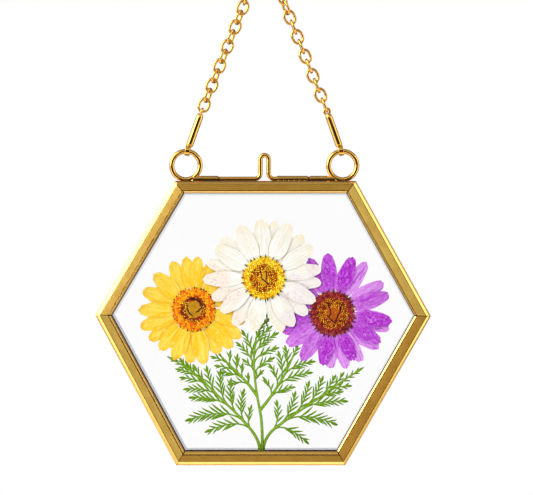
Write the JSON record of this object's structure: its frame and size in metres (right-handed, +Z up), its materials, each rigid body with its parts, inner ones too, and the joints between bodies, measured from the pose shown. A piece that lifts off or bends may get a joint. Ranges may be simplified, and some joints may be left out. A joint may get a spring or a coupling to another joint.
{
  "type": "pressed flower suncatcher",
  "caption": "Hinged hexagonal brass frame whose glass panes hold pressed daisies and fern-like leaves, hung on tube connectors and chains from a ring.",
  "frame": {"origin": "inner crown of the hanging ring, the point that a hook touches", "axes": "+X to the viewer's right, +Y from the front to the back, +Z up; the front pane faces -Y"},
  "size_m": [0.1498, 0.0075, 0.2411],
  "materials": {
    "polished_brass": "polished",
    "satin_brass": "satin",
    "clear_glass": "clear",
    "white_petal": "dry, translucent",
    "yellow_petal": "dry, translucent",
    "purple_petal": "dry, translucent",
    "white_flower_disc": "dry, fluffy",
    "yellow_flower_disc": "dry, grainy",
    "purple_flower_disc": "dry, grainy",
    "pressed_leaf": "dry, thin"
  },
  "bodies": {
    "hanger": {"hanging_ring": "polished_brass", "left_tube_connector": "polished_brass", "right_tube_connector": "polished_brass", "left_chain_link_1": "polished_brass", "left_chain_link_2": "polished_brass", "left_chain_link_3": "polished_brass", "left_chain_link_4": "polished_brass", "left_chain_link_5": "polished_brass", "left_chain_link_6": "polished_brass", "left_chain_link_7": "polished_brass", "left_chain_link_8": "polished_brass", "left_chain_link_9": "polished_brass", "left_chain_link_10": "polished_brass", "left_chain_link_11": "polished_brass", "left_chain_link_12": "polished_brass", "left_chain_link_13": "polished_brass", "left_chain_link_14": "polished_brass", "right_chain_link_1": "polished_brass", "right_chain_link_2": "polished_brass", "right_chain_link_3": "polished_brass", "right_chain_link_4": "polished_brass", "right_chain_link_5": "polished_brass", "right_chain_link_6": "polished_brass", "right_chain_link_7": "polished_brass", "right_chain_link_8": "polished_brass", "right_chain_link_9": "polished_brass", "right_chain_link_10": "polished_brass", "right_chain_link_11": "polished_brass", "right_chain_link_12": "polished_brass", "right_chain_link_13": "polished_brass", "right_chain_link_14": "polished_brass"},
    "back_frame": {"back_rail_top": "satin_brass", "back_rail_upper_right": "satin_brass", "back_rail_lower_right": "satin_brass", "back_rail_bottom": "satin_brass", "back_rail_lower_left": "satin_brass", "back_rail_upper_left": "satin_brass", "back_pane": "clear_glass", "left_latch_tube": "polished_brass", "right_latch_tube": "polished_brass", "left_corner_ring": "polished_brass", "right_corner_ring": "polished_brass", "white_petals": "white_petal", "white_disc": "white_flower_disc", "yellow_petals": "yellow_petal", "yellow_disc": "yellow_flower_disc", "purple_petals": "purple_petal", "purple_disc": "purple_flower_disc", "leaf_left": "pressed_leaf", "leaf_centre": "pressed_leaf", "leaf_right": "pressed_leaf"},
    "front_frame": {"front_rail_top": "satin_brass", "front_rail_upper_right": "satin_brass", "front_rail_lower_right": "satin_brass", "front_rail_bottom": "satin_brass", "front_rail_lower_left": "satin_brass", "front_rail_upper_left": "satin_brass", "front_pane": "clear_glass", "middle_latch_tube": "polished_brass"},
    "latch": {"latch_wire": "polished_brass"}
  },
  "joints": [
    {"name": "frame_swing", "type": "hinge", "parent": "hanger", "child": "back_frame", "pos_m": [0, -0.00015, -0.09861], "axis": [1, 0, 0], "range_deg": [-75, 75]},
    {"name": "front_opening", "type": "hinge", "parent": "back_frame", "child": "front_frame", "pos_m": [0, -0.00015, -0.23802], "axis": [1, 0, 0], "range_deg": [0, 120], "deforming": ["latch_wire"]},
    {"name": "latch_swivel", "type": "hinge", "parent": "front_frame", "child": "latch", "pos_m": [0.0001, -0.00015, -0.11092], "axis": [1, 0, 0], "range_deg": [-85, 85]}
  ]
}
